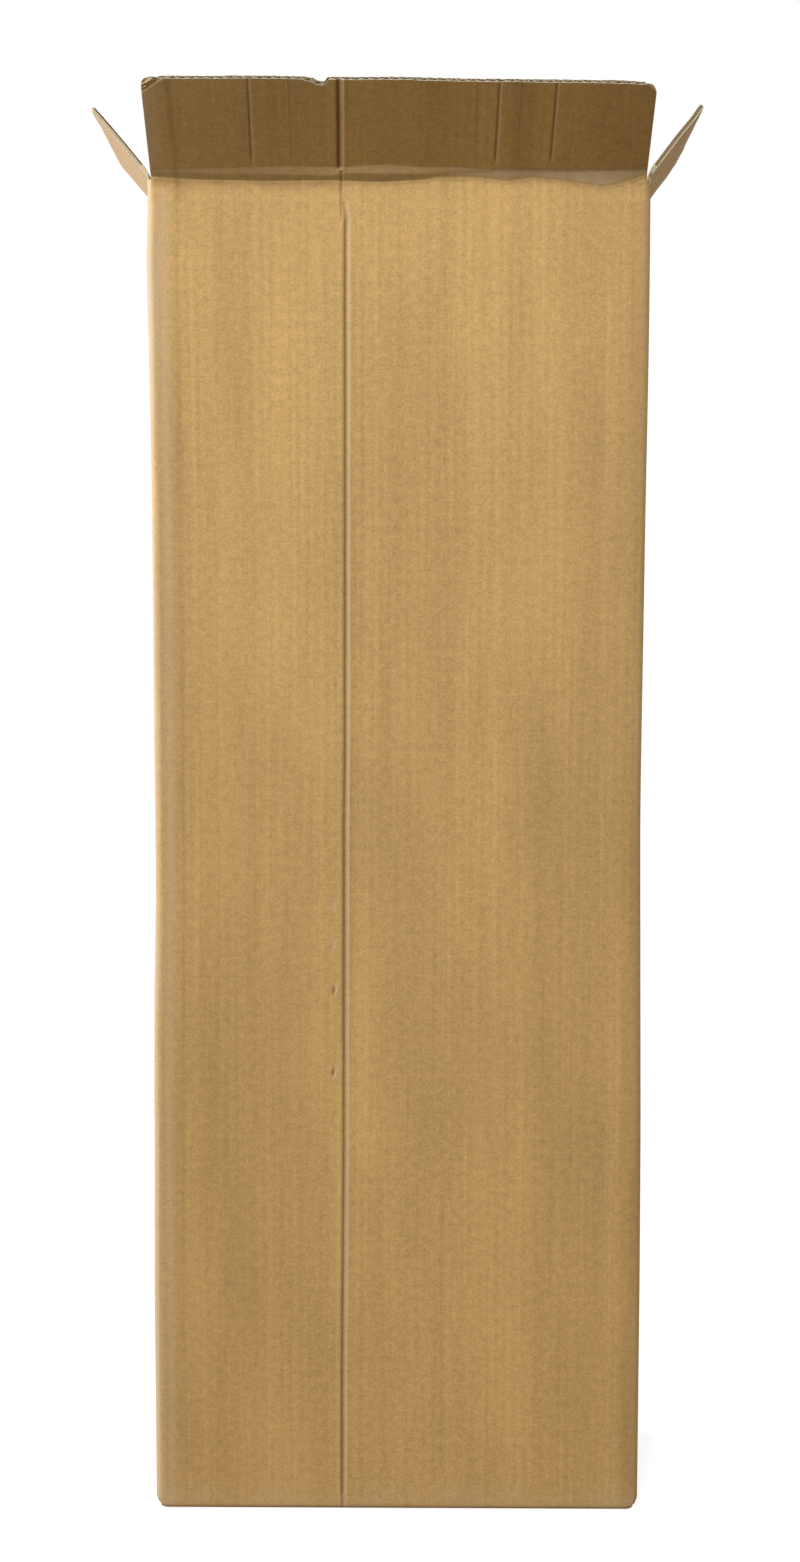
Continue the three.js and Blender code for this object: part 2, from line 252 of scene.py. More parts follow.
def flap_relief(side, x, v):
    """The same for a flap, v along the board from its fold."""
    x, v = np.broadcast_arrays(x, v)
    on_flap = between(v, 3.0, 14.0)
    worn = on_flap * (0.12 * lumps(x, v / 6.0, 17.0, 5 + len(side)) + 0.10 * lumps(x, v, 23.0, 9 + len(side)))
    if side != "front":
        return worn
    crease = FLAP_CREASE - 1.0 + 1.6 * np.clip(v / 75.0, 0.0, 1.0)
    above = between(v, -1.0, 4.0)
    offset = np.abs(x - crease)
    groove = 1.9 * np.clip(1.0 - offset / FLAP_CREASE_HALF, 0.0, 1.0)
    groove = above * (groove - 0.4 * hump(x, crease + 5.0, 2.2))
    lines = 0.0
    for centre, depth in FLAP_LINES:
        slant = centre + (1.6 if depth > 0.5 else 0.0) * (v - 35.0) / 75.0
        lines = lines + depth * np.clip(1.0 - np.abs(x - slant) / 1.7, 0.0, 1.0)
    return worn + groove + lines * between(v, 4.0, 12.0)


# Sheets of board
WELD_GRID = 500  # steps to a millimetre in which points count as one
SHARP_FROM = 38.0  # faces that turn by more than this show an edge


def sheet(patches):
    """Joins patches where they meet, and closes the sheet with an inner face and its cut edges.

    A patch is its outer points, its inner points, and each point's place on the flat board.
    The result is points, faces, the kind of each face (outer, inner or edge) and the board place.
    """
    outer, inner, place, quads, base = [], [], [], [], 0
    for out_points, in_points, on_board in patches:
        rows, columns = out_points.shape[:2]
        number = base + np.arange(rows * columns).reshape(rows, columns)
        corners = [number[:-1, :-1], number[:-1, 1:], number[1:, 1:], number[1:, :-1]]
        quads.append(np.stack(corners, -1).reshape(-1, 4))
        outer.append(out_points.reshape(-1, 3))
        inner.append(in_points.reshape(-1, 3))
        place.append(on_board.reshape(-1, 2))
        base += rows * columns
    outer, inner, place, quads = map(np.concatenate, (outer, inner, place, quads))
    grid = np.round(np.hstack([outer, inner]) * WELD_GRID).astype(int)
    _, first, again = np.unique(grid, axis=0, return_index=True, return_inverse=True)
    outer, inner, place, quads = outer[first], inner[first], place[first], again.reshape(-1)[quads]
    count = len(outer)
    edges = np.concatenate([quads[:, [i, (i + 1) % 4]] for i in range(4)])
    forward, backward = edges[:, 0] * count + edges[:, 1], edges[:, 1] * count + edges[:, 0]
    rim = edges[~np.isin(forward, backward)]
    sides = np.stack([rim[:, 1], rim[:, 0], rim[:, 0] + count, rim[:, 1] + count], -1)
    faces = np.concatenate([quads, quads[:, ::-1] + count, sides])
    kinds = np.repeat([0, 1, 2], [len(quads), len(quads), len(sides)])
    depth = np.repeat([0.0, 1.0], count)[:, None]
    return np.vstack([outer, inner]), faces, kinds, np.hstack([np.vstack([place, place]), depth])


def make_piece(name, parts, finishes, wear_and_painted_light=None):
    """One mesh from several sheets. Each part is a sheet and the finish of its three kinds of face."""
    points, faces, finish, place, base = [], [], [], [], 0
    for (part_points, part_faces, kinds, part_place), kind_finish in parts:
        points.append(part_points)
        faces.append(part_faces + base)
        finish.append(np.array(kind_finish)[kinds])
        place.append(part_place)
        base += len(part_points)
    points, faces, finish, place = map(np.concatenate, (points, faces, finish, place))
    mesh = bpy.data.meshes.new(name)
    mesh.vertices.add(len(points))
    mesh.vertices.foreach_set("co", (points * MM).ravel())
    mesh.loops.add(faces.size)
    mesh.loops.foreach_set("vertex_index", faces.ravel().astype(np.int32))
    mesh.polygons.add(len(faces))
    mesh.polygons.foreach_set("loop_start", np.arange(0, faces.size, 4, dtype=np.int32))
    mesh.polygons.foreach_set("material_index", finish.astype(np.int32))
    mesh.update(calc_edges=True)
    board = mesh.attributes.new("board", "FLOAT_VECTOR", "POINT")
    board.data.foreach_set("vector", (place * (MM, MM, 1.0)).ravel())
    # Two marks a point: rubbed wear with painted highlights, and painted shade with some soiling
    marks = np.zeros((2, len(points))) if wear_and_painted_light is None else np.clip(wear_and_painted_light(points, place), 0.0, 1.0)
    for attribute, values in zip(("rubbed_and_highlit", "shaded_and_soiled"), marks):
        mesh.attributes.new(attribute, "FLOAT", "POINT").data.foreach_set("value", values.astype(np.float32))
    mesh.validate()
    mesh.shade_smooth()
    mesh.set_sharp_from_angle(angle=radians(SHARP_FROM))
    piece = bpy.data.objects.new(name, mesh)
    bpy.context.scene.collection.objects.link(piece)
    for made in finishes:
        mesh.materials.append(made)
    return piece


# Finishes
class Signal:
    """A number that varies over a surface. Sums on it add Math nodes."""

    def __init__(self, finish, socket):
        self.finish, self.socket = finish, socket

    def sum_of(self, operation, *values, **settings):
        settings["operation"] = operation
        return self.finish.node("ShaderNodeMath", settings, dict(enumerate(values)))

    def __add__(self, other):
        return self.sum_of("ADD", self, other)

    def __sub__(self, other):
        return self.sum_of("SUBTRACT", self, other)

    def __rsub__(self, other):
        return self.sum_of("SUBTRACT", other, self)

    def __mul__(self, other):
        return self.sum_of("MULTIPLY", self, other)

    __radd__, __rmul__ = __add__, __mul__

    def clamped(self):
        return self.sum_of("ADD", self, 0.0, use_clamp=True)

    def size(self):
        return self.sum_of("ABSOLUTE", self)


class Nodes:
    """A tree of nodes, each made and linked in one step."""

    def __init__(self, tree):
        self.tree = tree

    def node(self, kind, settings=None, inputs=None, output=0):
        made = self.tree.nodes.new(kind)
        for name, value in (settings or {}).items():
            setattr(made, name, value)
        for name, value in (inputs or {}).items():
            self.set(made.inputs[name], value)
        return Signal(self, made.outputs[output])

    def set(self, socket, value):
        if isinstance(value, Signal):
            self.tree.links.new(value.socket, socket)
        else:
            socket.default_value = value


class Finish(Nodes):
    """A material built from nodes."""

    def __init__(self, name):
        self.material = bpy.data.materials.new(name)
        self.material.use_nodes = True
        super().__init__(self.material.node_tree)
        self.shader = self.tree.nodes["Principled BSDF"]

    def surface(self, **values):
        for name, value in values.items():
            self.set(self.shader.inputs[name.replace("_", " ")], value)
        return self.material

    def board(self):
        return self.node("ShaderNodeAttribute", {"attribute_name": "board"}, output="Vector")

    def marked(self, attribute):
        return self.node("ShaderNodeAttribute", {"attribute_name": attribute}, output="Fac")

    def stretched(self, vector, scale):
        return self.node("ShaderNodeVectorMath", {"operation": "MULTIPLY"}, {0: vector, 1: scale})

    def noise(self, vector, scale, detail=2.0, rough=0.5):
        inputs = {"Vector": vector, "Scale": scale, "Detail": detail, "Roughness": rough}
        return self.node("ShaderNodeTexNoise", {}, inputs)

    def cells(self, vector, scale):
        return self.node("ShaderNodeTexVoronoi", {}, {"Vector": vector, "Scale": scale}, "Distance")

    def along(self, vector, axis):
        return self.node("ShaderNodeSeparateXYZ", {}, {"Vector": vector}, axis)

    def flutes(self, across):
        """A wave that follows the board's flutes, between -1 and 1."""
        turns = across * (2 * pi / (FLUTE_PITCH * MM))
        return turns.sum_of("SINE", turns)

    def blend(self, share, first, second):
        inputs = {"Factor": share, "A": first, "B": second}
        return self.node("ShaderNodeMix", {"data_type": "RGBA"}, inputs, "Result")

    def step(self, value, low, high):
        inputs = {"Value": value, "From Min": low, "From Max": high}
        return self.node("ShaderNodeMapRange", {"interpolation_type": "SMOOTHSTEP"}, inputs)


def colour(red, green, blue, by=1.0):
    return (red * by, green * by, blue * by, 1.0)


def kraft_finish(name, base, pale, ridges=0.5):
    """Brown kraft paper: mottled, streaked along the flutes, with fibres, specks, rubbed places and painted
    highlights, and painted shade with some soiling.
    """
    made = Finish(name)
    board = made.board()
    mottle = made.noise(board, 480.0, 6.0, 0.8)
    blotch = made.noise(board, 150.0, 4.0, 0.7)
    cloud = made.noise(made.stretched(board, (9.0, 4.0, 1.0)), 1.0, 2.0)
    streak = made.noise(made.stretched(board, (230.0, 5.0, 1.0)), 1.0, 3.0, 0.6)
    bands = made.noise(made.stretched(board, (48.0, 1.6, 1.0)), 1.0, 2.0)
    ribs = made.flutes(made.along(board, "X")) * (made.step(bands, 0.42, 0.66) * 0.7 + 0.3)
    fibres = made.step(made.noise(made.stretched(board, (1500.0, 210.0, 1.0)), 1.0, 2.0, 0.7), 0.63, 0.78)
    threads = made.step(made.noise(made.stretched(board, (260.0, 1300.0, 1.0)), 1.0, 2.0, 0.7), 0.64, 0.8)
    specks = 1.0 - made.step(made.cells(board, 85.0), 0.035, 0.06)
    tone = (mottle - 0.5) * 2.2 + (blotch - 0.5) * 1.1 + (cloud - 0.5) * 0.8 + (streak - 0.5) * 0.55
    tone = tone + (bands - 0.5) * 0.5 + ribs * (0.1 * ridges) + fibres * 0.2 - threads * 0.16 - specks * 0.4
    shade = made.blend((tone + 0.5).clamped(), colour(*base, by=0.72), colour(*base, by=1.28))
    # Painted shade, with some soiling, darkens the colour towards a deep brown
    shade_and_soil = (made.marked("shaded_and_soiled") * (mottle * 0.6 + 0.7)).clamped()
    shade = made.blend(shade_and_soil, shade, (base[0] * 0.30, base[1] * 0.25, base[2] * 0.24, 1.0))
    # Rubbed places and painted highlights go towards the pale colour
    worn = (made.marked("rubbed_and_highlit") * (mottle * 0.9 + 0.45)).clamped()
    rough = (mottle - 0.5) * 0.2 + 0.84
    height = mottle * 0.5 + ribs * (0.55 * ridges) + streak * 0.35 + fibres * 0.3
    bump = made.node("ShaderNodeBump", {}, {"Height": height, "Strength": 0.5, "Distance": 0.00016}, "Normal")
    made.shader.inputs["Specular IOR Level"].default_value = 0.22
    return made.surface(Base_Color=made.blend(worn, shade, colour(*pale)), Roughness=rough, Normal=bump)


def torn_finish(name, base, lined):
    """The board's cut edge. On solid board, lined shows the two liners and the wave between them."""
    made = Finish(name)
    board = made.board()
    grain = made.noise(board, 900.0, 3.0, 0.7)
    long_grain = made.noise(made.stretched(board, (60.0, 60.0, 9.0)), 1.0, 2.0)
    tone = (grain * 0.8 + long_grain * 0.5 - 0.15).clamped()
    shade = made.blend(tone, colour(*base, by=0.66), colour(*base, by=1.2))
    if lined:
        depth = made.along(board, "Z")
        off_wave = (depth - (made.flutes(made.along(board, "X")) * 0.36 + 0.5)).size()
        off_middle = (depth - 0.5).size()
        # The open flutes between the papers are painted dark, as painted shade in the hollows
        paper = (1.0 - made.step(off_wave, 0.05, 0.11) + made.step(off_middle, 0.38, 0.42)).clamped()
        shade = made.blend(paper, colour(*base, by=0.16), shade)
    bump = made.node("ShaderNodeBump", {}, {"Height": grain, "Strength": 0.7, "Distance": 0.0002}, "Normal")
    made.shader.inputs["Specular IOR Level"].default_value = 0.15
    return made.surface(Base_Color=shade, Roughness=grain * 0.1 + 0.88, Normal=bump)


def tape_finish(name, base):
    """Brown packing tape: a thin glossy film with the board showing through and small bubbles."""
    made = Finish(name)
    board = made.board()
    cloud = made.noise(board, 45.0, 3.0)
    bubbles = made.step(made.cells(board, 160.0), 0.05, 0.22)
    lines = made.noise(made.stretched(board, (900.0, 6.0, 1.0)), 1.0, 2.0)
    tone = (cloud * 0.6 + lines * 0.3 + bubbles * 0.12).clamped()
    height = cloud * 0.6 + lines * 0.3 + bubbles * 0.5
    bump = made.node("ShaderNodeBump", {}, {"Height": height, "Strength": 0.35, "Distance": 0.0002}, "Normal")
    made.shader.inputs["Coat Roughness"].default_value = 0.12
    return made.surface(Base_Color=made.blend(tone, colour(*base, by=0.82), colour(*base, by=1.16)),
                        Roughness=0.52 - lines * 0.12, Coat_Weight=bubbles * 0.08, Normal=bump)


KRAFT = (0.500, 0.322, 0.126)
PALE_KRAFT = (0.52, 0.40, 0.27)
outside = kraft_finish("kraft_outside", KRAFT, PALE_KRAFT)
inside = kraft_finish("kraft_inside", (0.44, 0.305, 0.155), PALE_KRAFT, ridges=0.9)
paper_edge = torn_finish("paper_edge", (0.92, 0.88, 0.76), False)
medium = torn_finish("fluting_paper", (0.60, 0.50, 0.34), False)
lined_edge = torn_finish("board_edge", (0.62, 0.49, 0.31), True)
tape_film = tape_finish("brown_tape", (0.33, 0.19, 0.075))


# Columns round the carton
def spread(marks, step):
    """Evenly spaced places from one mark to the next, at most a step apart."""
    made = [marks[0]]
    for low, high in zip(marks, marks[1:]):
        count = max(1, int(np.ceil((high - low) / step)))
        made += list(np.linspace(low, high, count + 1)[1:])
    return made


def fine_spread(half, step, fine):
    """The same with closer places round each fine mark, given as its place, reach and step."""
    places = set(np.round(spread([-half, half], step), 3))
    for centre, reach, close in fine:
        places = {p for p in places if abs(p - centre) > reach}
        places |= set(np.round(np.arange(centre - reach, centre + reach + close / 2, close), 3))
    return sorted(p for p in places if -half <= p <= half)


main_fine = [(-46.5, 8.4, 0.7), (-122.0, 3.0, 0.75), (81.0, 3.0, 0.75), (127.2, 3.0, 0.75), (-89.4, 2.0, 1.0),
             (98.9, 2.0, 1.0), (63.2, 2.0, 1.0), (-68.0, 12.0, 1.0), (-198.0, 6.5, 1.0), (198.0, 6.5, 1.0)]
arc = np.arange(ARC_STEPS + 1) * 90.0 / ARC_STEPS
slot_steps = int(SLOT_FROM / 90.0 * ARC_STEPS)
joint_middle = 0.5 * (JOINT_FROM + JOINT_TO)
beside_tape = [-TAPE_HALF - 0.35, -TAPE_HALF - 0.3, TAPE_HALF + 0.3, TAPE_HALF + 0.35]
end_flats = spread([-FLAT["end"], *beside_tape, FLAT["end"]], 6.0)
FLATS = {
    "front": fine_spread(FLAT["main"], 4.5, main_fine),
    "back": spread([-FLAT["main"], JOINT_FROM - 0.1], 7.0) + [JOINT_FROM, JOINT_FROM + 0.05, joint_middle],
    "left": end_flats,
    "right": end_flats,
}
JOINT_END = [joint_middle, JOINT_TO - 0.05, JOINT_TO]


def columns(side, flats, before=None, after=None):
    """A panel's columns: each one's x, how far its corner bend has turned, and its place on the board."""
    half = FLAT[KIND[side]]
    x, turn = list(flats), [0.0] * len(flats)
    for sign, steps in ((-1, before), (1, after)):
        bend = [] if steps is None else [arc[i] for i in range(1, steps + 1)]
        if sign < 0:
            bend = bend[::-1]
            x = [-half - CORNER * sin(radians(t)) for t in bend] + x
            turn = [-t for t in bend] + turn
        else:
            x = x + [half + CORNER * sin(radians(t)) for t in bend]
            turn = turn + bend
    x, turn = np.array(x), np.array(turn)
    flat_x = np.clip(x, -half, half)
    place = MIDDLE[side] + flat_x + CORNER * np.radians(turn)
    return x, turn, place


def folded(side, x, turn, out, up, tilt, flat, thickness, relief=0.0):
    """Outer and inner points where a panel, whose corner bends flatten out, follows a folded section."""
    phi = np.radians(turn) * flat
    drop = CORNER * (1.0 - np.cos(np.radians(turn))) * flat
    tilt = np.radians(tilt)
    normal = (np.sin(phi), np.cos(phi) * np.cos(tilt), -np.cos(phi) * np.sin(tilt))
    skin = (x, out - drop, up)
    outer = [s - n * relief for s, n in zip(skin, normal)]
    inner = [s - n * thickness for s, n in zip(skin, normal)]
    return to_carton(side, *outer), to_carton(side, *inner)


def tape_groove(side, x, z):
    """Room under the tape on the end walls."""
    if KIND[side] == "main":
        return 0.0
    return (TAPE_THICKNESS + TAPE_SEAT) * ((np.abs(x) < TAPE_HALF + 0.32) & (z < TAPE_LAP + 0.4))


def glued_groove(side, x):
    if side != "back":
        return 0.0
    return JOINT_DEPTH * ((x > JOINT_FROM + 0.02) & (x < JOINT_TO - 0.02))


def wall_patch(side, cols, rows):
    x, turn, place = cols
    z = np.array(rows)[:, None]
    x, turn = x[None, :], turn[None, :]
    relief = panel_relief(side, x, z) * (np.abs(turn) < 1) + tape_groove(side, x, z) + glued_groove(side, x)
    outer, inner = folded(side, x, turn, 0.0 * z, z + 0.0 * x, 0.0, 1.0, BOARD, relief)
    board = np.stack(np.broadcast_arrays(place[None, :], z), -1)
    return settle(outer), settle(inner), board


def lower_flap_patch(side, cols):
    """A bottom flap from its free edge up to the wall, so that its rows still run upwards."""
    x, turn, place = cols
    main = KIND[side] == "main"
    radius = SIDE_FOLD if main else END_FOLD
    floor = 0.0 if main else BOARD + LAYER_GAP
    reach = (HALF_DEPTH - SEAM_HALF) if main else 75.0
    edge = HALF_DEPTH - TAPE_HALF - TAPE_MARGIN
    flat = [12, 24, 38, edge - 0.05, edge + 0.05, 60, 70, reach] if main else [12, 24, 40, 56, 68, 72, reach]
    section = [(0.0, LOWER_JOIN, 0.0)] + ([(0.0, 9.5, 0.0)] if main else [])
    for angle in np.radians(np.arange(0, 91, 15)):
        section.append((radius * (1 - cos(angle)), floor + radius * (1 - sin(angle)), np.degrees(angle)))
    section += [(r, floor, 90.0) for r in flat]
    inward, up, tilt = (np.array(v)[::-1, None] for v in zip(*section))
    x, turn = x[None, :], turn[None, :]
    under_tape = (inward > edge) if main else (np.abs(x) < TAPE_HALF + 0.32)
    groove = (TAPE_THICKNESS + TAPE_SEAT) * under_tape
    flatten = 1.0 - between(inward + LOWER_JOIN - up, 0.0, 12.0)
    outer, inner = folded(side, x, turn, -inward, up + 0 * x, tilt, flatten, BOARD, groove)
    strides = np.hypot(np.diff(inward[::-1, 0]), np.diff(up[::-1, 0]))
    run = np.concatenate([[0.0], np.cumsum(strides)])[::-1, None]
    board = np.stack(np.broadcast_arrays(place[None, :], LOWER_JOIN - run), -1)
    return settle(outer), settle(inner), board


# Rows up the walls, closer at the nicks, the scrapes and the top
wall_rows = spread([LOWER_JOIN, TAPE_LAP + 0.3, TAPE_LAP + 0.45, 384.0], 18.0)[:-1]
for rows_from, rows_to, stride in ((384.0, 401.0, 1.7), (412.0, 455.0, 14.0), (457.0, 473.0, 1.7),
                                   (480.0, 499.0, 9.0), (500.0, 513.0, 2.5), (522.0, 533.0, 10.0),
                                   (534.0, 546.0, 2.5)):
    wall_rows += list(np.arange(rows_from, rows_to, stride))
wall_rows += spread([556.0, 1096.0], 18.0) + [1100.0, 1106.0, 1112.0]
wall_rows += list(np.arange(1120.0, JOIN_Z - 1.0, 3.0)) + [JOIN_Z]
tongue_rows = [JOIN_Z, JOIN_Z + 7.0, JOIN_Z + 13.0, SLOT_FLOOR]

# Round the whole carton from the glued joint, corner bends split between their two panels
half_bend = ARC_STEPS // 2
ring = [(side, columns(side, FLATS[side], half_bend, None if side == "back" else half_bend))
        for side in ("left", "front", "right", "back")]
joint_x, joint_turn, joint_place = columns("back", JOINT_END, None, half_bend)
ring.append(("back", (joint_x, joint_turn, joint_place - 4 * MIDDLE["front"])))

patches = [wall_patch(side, cols, wall_rows) for side, cols in ring]
for side in ("front", "right", "back", "left"):
    flats = FLATS[side] + (JOINT_END[1:] if side == "back" else [])
    half = FLAT[KIND[side]]
    for sign in (-1, 1):
        steps = np.arange(slot_steps, half_bend + 1)
        turn = np.sort(sign * arc[steps])
        x = sign * half + CORNER * np.sin(np.radians(turn))
        tongue = (x, turn, MIDDLE[side] + sign * half + CORNER * np.radians(turn))
        patches.append(wall_patch(side, tongue, tongue_rows))
        patches.append(wall_patch(side, tongue, [2.0, 4.0, 6.5, 10.0, LOWER_JOIN]))
    patches.append(lower_flap_patch(side, columns(side, flats, slot_steps, slot_steps)))

tab_z = np.array(spread([TAB_ENDS, HEIGHT - TAB_ENDS], 20.0))[:, None]
tab_share = np.linspace(0.0, 1.0, 7)[None, :]
tab_root = HALF_WIDTH - BOARD + 0.3
bevel = TAB_BEVEL * tab_share
tab_length = HEIGHT - 2 * TAB_ENDS
tab_height = TAB_ENDS + bevel + (tab_z - TAB_ENDS) / tab_length * (tab_length - 2 * bevel)
tab_x = tab_root - TAB_WIDTH * tab_share[:, ::-1]
tab_height = tab_height[:, ::-1]
tab_face = to_carton("back", tab_x, -BOARD + 0.15 + 0 * tab_height, tab_height)
tab_back = to_carton("back", tab_x, -2 * BOARD + 0 * tab_height, tab_height)
tab_place = np.stack(np.broadcast_arrays(tab_x, tab_height), -1)
glue_tab = (settle(tab_face), settle(tab_back), tab_place)


def wall_wear_and_painted_light(points, place):
    """Paler rubbed places at the bends and the lower edges, painted highlights beside the crease, at the nicks
    and down the left side, and darker painted shade with some soiling.
    """
    x, y, z = points.T
    on_front = place[:, 0] - MIDDLE["front"]
    past_x, past_y = np.abs(x) - FLAT["main"], np.abs(y) - FLAT["end"]
    bend = between(np.hypot(np.maximum(past_x, 0), np.maximum(past_y, 0)), 4.0, 8.0)
    bend = bend * (past_x > 0) * (past_y > 0)
    # The bends are rubbed, and the left ones are four times paler as painted light from the left
    bend = bend * (0.5 + 0.4 * lumps(x, z, 70.0, 3)) * np.where(x > 0, 0.25, 1.0)
    front = (y < -HALF_DEPTH + 2.5) * (np.abs(on_front) < FLAT["main"] + 9.0)
    crease = follow(z, CREASE)
    # A painted highlight on the lit right wall of the crease
    rubbed_and_highlit = 0.55 * bend + front * 0.75 * hump(on_front, crease + 2.6, 2.0)
    rubbed_and_highlit = rubbed_and_highlit + 0.45 * (1.0 - between(z, 2.0, 26.0)) * (0.5 + 0.5 * lumps(x + y, z, 16.0, 4))
    # A painted highlight down the front's left corner strip and over the whole left end wall
    rubbed_and_highlit = rubbed_and_highlit + front * 0.4 * hump(on_front, -198.0, 9.0) + 0.55 * (x < -HALF_WIDTH + 3.0)
    upper = between(z, FLAP_CREASE_LOW, FLAP_CREASE_LOW + 8.0)
    # Painted shade on the crease's left wall and in the upper crease
    shaded_and_soiled = 0.72 * hump(on_front, crease - 1.0, 1.9) * (1.0 - 0.6 * upper)
    shaded_and_soiled = shaded_and_soiled + 0.45 * upper * hump(on_front, FLAP_CREASE, 1.6)
    # Painted shade along the score line near the left corner and on the shaded right corner
    shaded_and_soiled = shaded_and_soiled + 0.11 * hump(on_front, -186.0, 4.5) + 0.16 * between(on_front, 190.0, 204.0)
    # Painted shade: the front grows darker lower down towards both sides
    sides = hump(on_front, -150.0, 110.0) * (1.0 - between(z, 560.0, 1000.0))
    sides = sides + between(on_front, 60.0, 190.0) * (1.0 - between(z, 700.0, 1120.0)) * 0.6
    shaded_and_soiled = shaded_and_soiled + 0.11 * sides + 0.05 * between(lumps(on_front, z / 6.0, 34.0, 61), 0.0, 0.9)
    for mark_x, mark_z in SCRAPES:
        rubbed_and_highlit = rubbed_and_highlit + front * 0.8 * spot(on_front, z, mark_x, mark_z, 1.8, 3.4)
    # Each nick gets a painted highlight on its right side and painted shade on its left
    for mark_x, mark_z in NICKS:
        rubbed_and_highlit = rubbed_and_highlit + front * 1.2 * spot(on_front, z, mark_x + 1.6, mark_z, 1.1, 2.8)
        shaded_and_soiled = shaded_and_soiled + 0.9 * spot(on_front, z, mark_x - 0.6, mark_z, 1.1, 2.8)
    return rubbed_and_highlit, shaded_and_soiled * front


wall_sheets = [(sheet(patches), (0, 1, 2)), (sheet([glue_tab]), (1, 1, 2))]
shell = make_piece("carton_walls", wall_sheets, [outside, inside, lined_edge], wall_wear_and_painted_light)
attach(shell, "carton")
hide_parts("box_body")

# Tape under the bottom seam and up both ends
tape_end = HALF_WIDTH * FULLER - ROUNDED_END
tape_up = np.linspace(TAPE_LAP, ROUNDED_END, 8)
tape_arc = np.radians(np.linspace(0, 90, 9)[1:-1])
left_run = [(-HALF_WIDTH * FULLER, z, -90.0) for z in tape_up]
left_run += [(-tape_end - ROUNDED_END * cos(a), ROUNDED_END * (1 - sin(a)), np.degrees(a) - 90.0)
             for a in tape_arc]
under = [(x, 0.0, 0.0) for x in spread([-tape_end, tape_end], 12.0)]
right_run = [(-x, z, -tilt) for x, z, tilt in left_run[::-1]]
tape_x, tape_z, tape_tilt = (np.array(v)[None, :] for v in zip(*(left_run + under + right_run)))
tape_y = np.arange(-TAPE_HALF, TAPE_HALF + 0.5, 1.0)[:, None]
tape_run = np.concatenate([[0.0], np.cumsum(np.hypot(np.diff(tape_x[0]), np.diff(tape_z[0])))])[None, :]
teeth = 0.8 * (np.arange(len(tape_y)) % 2)[:, None]
cut = teeth * ((tape_run < 0.1) | (tape_run > tape_run.max() - 0.1))
tilt = np.radians(tape_tilt)
normal = np.stack(np.broadcast_arrays(np.sin(tilt), 0.0 * tape_y, -np.cos(tilt)), -1)
skin = np.stack(np.broadcast_arrays(tape_x, tape_y, tape_z - cut), -1)
tape_out, tape_in = skin[::-1], (skin - normal * TAPE_THICKNESS)[::-1]
tape_place = np.stack(np.broadcast_arrays(tape_y[::-1], tape_run), -1)


def tape_settled(points):
    """The tape's own rounding is already round, so only the drawn-in sides are added."""
    x, y, z = np.moveaxis(points, -1, 0)
    return np.stack([x - drawn_in(x, z), y, z], -1)


tape_sheet = sheet([(tape_settled(tape_out), tape_settled(tape_in), tape_place)])
tape = make_piece("bottom_tape", [(tape_sheet, (0, 0, 0))], [tape_film])
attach(tape, "carton")
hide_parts("bottom_seam_tape")


# Fluted flaps
class Section:
    """How the board runs through a fold: out and up, for a place x along the fold and v along the board."""

    STEP = 0.25

    def __init__(self, side, bends):
        kind = KIND[side]
        self.low = JOIN_Z - FOLD_Z[kind]
        self.reach = FLAT[kind] + 6.0
        self.x = np.arange(-self.reach, self.reach + 1.0, 1.0)[:, None]
        self.v = np.arange(self.low, FLAP_LENGTH[kind] + 6.0, self.STEP)[None, :]
        self.lean = sum(turn(self.x) * between(self.v, start(self.x) - width / 2, start(self.x) + width / 2)
                        for start, turn, width in bends)
        slope = np.radians(self.lean)
        self.out = np.cumsum(np.sin(slope), axis=1) * self.STEP
        self.up = np.cumsum(np.cos(slope), axis=1) * self.STEP
        self.out -= self.out[:, :1]
        self.up += JOIN_Z - self.up[:, :1]

    def at(self, x, v):
        x, v = np.broadcast_arrays(x, v)
        row = np.clip(x + self.reach, 0, len(self.x) - 1.001)
        col = np.clip((v - self.low) / self.STEP, 0, self.v.shape[1] - 1.001)
        i, j = row.astype(int), col.astype(int)
        s, t = row - i, col - j

        def read(table):
            low = table[i, j] * (1 - t) + table[i, j + 1] * t
            high = table[i + 1, j] * (1 - t) + table[i + 1, j + 1] * t
            return low * (1 - s) + high * s

        return read(self.out), read(self.up), read(self.lean)


def line(knots):
    return lambda x: follow(x, knots)


def less(first, second):
    return lambda x: follow(x, first) - follow(x, second)


def level(value, wander=0.0, seed=0, cell=26.0):
    return lambda x: value + wander * lumps(x, 0.0, cell, seed)


def steady(value, seed):
    """A lean that stays nearly the same along the fold, because the board is stiff that way."""
    return level(value, 0.45, seed, 120.0)


SECTIONS = {
    "front": Section("front", [
        (line(FOLD_START), line(LEAN_START), 1.0), (line(FOLD_MIDDLE), less(LEAN_MIDDLE, LEAN_START), 1.0),
        (line(FOLD_END), less(LEAN_END, LEAN_MIDDLE), 1.6), (level(60.0), steady(-0.5, 4), 22.0)]),
    "back": Section("back", [
        (level(-1.0, 1.0, 5), steady(30.0, 6), 1.6), (level(1.6, 0.8, 7), steady(14.0, 8), 2.4),
        (level(50.0), steady(-2.0, 9), 30.0)]),
    "left": Section("left", [
        (level(0.8, 0.8, 11), steady(33.0, 12), 2.0), (level(4.0, 0.6, 13), level(6.5), 3.0),
        (level(46.0), steady(2.0, 14), 24.0)]),
    "right": Section("right", [
        (line([(-76, 1.6), (20, 0.8), (50, -1.6), (76, -5.0)]), line([(-76, 31.8), (30, 31.5), (76, 29.2)]), 2.0),
        (level(5.0, 0.6, 17), level(5.0), 3.0), (level(44.0), steady(4.0, 18), 14.0),
        (level(60.0), level(-6.0), 8.0), (level(70.0), level(4.0), 5.0)]),
}


